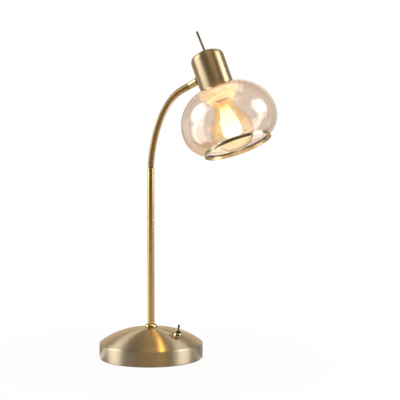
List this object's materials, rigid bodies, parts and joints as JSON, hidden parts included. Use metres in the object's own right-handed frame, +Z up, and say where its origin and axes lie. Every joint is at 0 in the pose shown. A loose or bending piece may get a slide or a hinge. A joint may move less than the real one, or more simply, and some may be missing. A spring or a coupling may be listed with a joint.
{
  "type": "table lamp",
  "caption": "Table lamp with a weighted round brass foot, toggle switch, straight stem, ribbed gooseneck and a turning head with an open clear glass globe.",
  "frame": {"origin": "centre of the foot's flat underside", "axes": "+Z up along the stem, +X towards the side the gooseneck and the head lean over, -X towards the cord inlet"},
  "size_m": [0.2769, 0.15, 0.4659],
  "materials": {
    "brass_base": "old polished brass",
    "brass_stem": "polished brass",
    "brass_neck": "ribbed brass",
    "brass_cup": "vertically brushed brass",
    "brass_trim": "polished brass",
    "dark_brass": "darkened brass",
    "steel": "zinc plated",
    "cast_iron": "rough cast",
    "black_plastic": "gloss black",
    "pad": "matt",
    "cream_plastic": "translucent cream",
    "holder_plastic": "cream",
    "gasket": "soft",
    "globe_glass": "clear, faintly rose tinted",
    "bulb_glass": "clear",
    "bulb_metal": "drawn",
    "insulator": "black",
    "filament": "glowing yellow"
  },
  "bodies": {
    "base": {"base_shell": "brass_base", "foot_pad": "pad", "base_ballast": "cast_iron", "stem_tie_tube": "steel", "stem_lock_washer": "steel", "stem_lock_nut": "steel", "ballast_spacer": "steel", "ballast_washer": "steel", "ballast_nut": "steel", "cord_inlet": "black_plastic", "inlet_nut": "steel", "stem_tube": "brass_stem", "stem_collar": "brass_trim", "neck_foot_fitting": "dark_brass", "switch_case": "black_plastic", "switch_bush": "black_plastic", "switch_dress_nut": "brass_trim", "switch_lock_nut": "steel", "switch_terminals": "bulb_metal"},
    "neck_1": {"neck_link_01": "brass_neck"},
    "neck_2": {"neck_link_02": "brass_neck"},
    "neck_3": {"neck_link_03": "brass_neck"},
    "neck_4": {"neck_link_04": "brass_neck"},
    "neck_5": {"neck_link_05": "brass_neck"},
    "neck_6": {"neck_link_06": "brass_neck"},
    "neck_7": {"neck_link_07": "brass_neck"},
    "neck_8": {"neck_link_08": "brass_neck"},
    "neck_9": {"neck_link_09": "brass_neck"},
    "neck_10": {"neck_link_10": "brass_neck"},
    "neck_11": {"neck_link_11": "brass_neck"},
    "neck_12": {"neck_link_12": "brass_neck", "neck_ferrule": "brass_neck", "swivel_nipple": "steel", "swivel_nut": "steel"},
    "head": {"swivel_washer": "black_plastic", "socket_cup": "brass_cup", "handle_rod": "dark_brass", "rod_nut": "steel", "socket_bracket": "steel", "bracket_screws": "steel", "lampholder_body": "holder_plastic", "thread_shell": "bulb_metal", "centre_contact": "bulb_metal", "shade_ring": "cream_plastic", "glass_gasket": "gasket", "globe_shade": "globe_glass", "mouth_ring": "brass_trim", "bulb_glass": "bulb_glass", "bulb_cap": "bulb_metal", "bulb_insulator": "insulator", "bulb_contact": "bulb_metal", "bulb_mount": "bulb_glass", "bulb_filaments": "filament"},
    "switch": {"switch_lever": "black_plastic"}
  },
  "joints": [
    {"name": "neck_bend_1", "type": "hinge", "parent": "base", "child": "neck_1", "pos_m": [0, 0, 0.2768], "axis": [0, 1, 0], "range_deg": [-8.73, 3.93]},
    {"name": "neck_side_1", "type": "hinge", "parent": "neck_1", "child": "neck_2", "pos_m": [0.00093, 0, 0.28789], "axis": [0.9884, 0, -0.1518], "range_deg": [-8, 8]},
    {"name": "neck_bend_2", "type": "hinge", "parent": "neck_2", "child": "neck_3", "pos_m": [0.00262, 0, 0.29888], "axis": [0, 1, 0], "range_deg": [-6.63, 2.98]},
    {"name": "neck_side_2", "type": "hinge", "parent": "neck_3", "child": "neck_4", "pos_m": [0.00496, 0, 0.30976], "axis": [0.9643, 0, -0.2649], "range_deg": [-8, 8]},
    {"name": "neck_bend_3", "type": "hinge", "parent": "neck_4", "child": "neck_5", "pos_m": [0.00791, 0, 0.32049], "axis": [0, 1, 0], "range_deg": [-6.86, 3.09]},
    {"name": "neck_side_3", "type": "hinge", "parent": "neck_5", "child": "neck_6", "pos_m": [0.01146, 0, 0.33103], "axis": [0.9257, 0, -0.3782], "range_deg": [-8, 8]},
    {"name": "neck_bend_4", "type": "hinge", "parent": "neck_6", "child": "neck_7", "pos_m": [0.01567, 0, 0.34133], "axis": [0, 1, 0], "range_deg": [-9.42, 4.24]},
    {"name": "neck_side_4", "type": "hinge", "parent": "neck_7", "child": "neck_8", "pos_m": [0.02062, 0, 0.35129], "axis": [0.8513, 0, -0.5246], "range_deg": [-8, 8]},
    {"name": "neck_bend_5", "type": "hinge", "parent": "neck_8", "child": "neck_9", "pos_m": [0.02646, 0, 0.36076], "axis": [0, 1, 0], "range_deg": [-14.32, 6.44]},
    {"name": "neck_side_5", "type": "hinge", "parent": "neck_9", "child": "neck_10", "pos_m": [0.03332, 0, 0.36952], "axis": [0.6952, 0, -0.7188], "range_deg": [-8, 8]},
    {"name": "neck_bend_6", "type": "hinge", "parent": "neck_10", "child": "neck_11", "pos_m": [0.04131, 0, 0.37725], "axis": [0, 1, 0], "range_deg": [-21.54, 9.69]},
    {"name": "neck_side_6", "type": "hinge", "parent": "neck_11", "child": "neck_12", "pos_m": [0.0505, 0, 0.38353], "axis": [0.3827, 0, -0.9239], "range_deg": [-8, 8]},
    {"name": "head_swivel", "type": "hinge", "parent": "neck_12", "child": "head", "pos_m": [0.08249, 0, 0.39677], "axis": [0.9239, 0, 0.3827], "range_deg": [-120, 120]},
    {"name": "switch_toggle", "type": "hinge", "parent": "base", "child": "switch", "pos_m": [0.05322, -0.00748, 0.0393], "axis": [0.1392, 0.9903, 0], "range_deg": [0, 26.4]}
  ]
}
